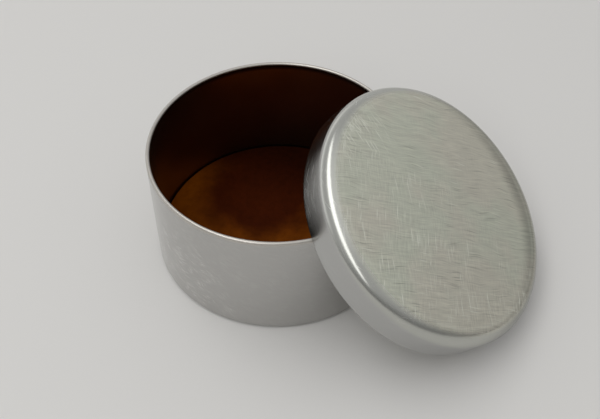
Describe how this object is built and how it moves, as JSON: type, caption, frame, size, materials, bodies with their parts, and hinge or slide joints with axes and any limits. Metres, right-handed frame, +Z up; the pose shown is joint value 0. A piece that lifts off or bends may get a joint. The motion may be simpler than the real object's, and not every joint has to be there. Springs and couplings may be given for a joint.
{
  "type": "shoe polish tin",
  "caption": "Round metal polish tin with its slip-on lid off, leaning on the base's rolled lip, and a thin dry layer of polish inside.",
  "frame": {"origin": "centre of the base's underside, on the surface that the tin stands on", "axes": "+Z up along the base's axis; +X from the base towards the foot of the leaning lid"},
  "size_m": [0.1172, 0.0776, 0.054],
  "materials": {
    "base_metal": "polished silver-coloured sheet with fine scratches, dark golden-brown lacquer inside, bare bright lip",
    "polish": "dry amber to dark brown wax, mottled and half glossy",
    "lid_metal": "satin face with crossed fine scratches, polished shoulder and skirt"
  },
  "bodies": {
    "base": {"base_shell": "base_metal", "polish_layer": "polish"},
    "lid": {"lid_shell": "lid_metal"}
  },
  "joints": [
    {"name": "lid_lift", "type": "slide", "parent": "base", "child": "lid", "axis": [0, 0, 1], "range_m": [0, 0.06]}
  ]
}
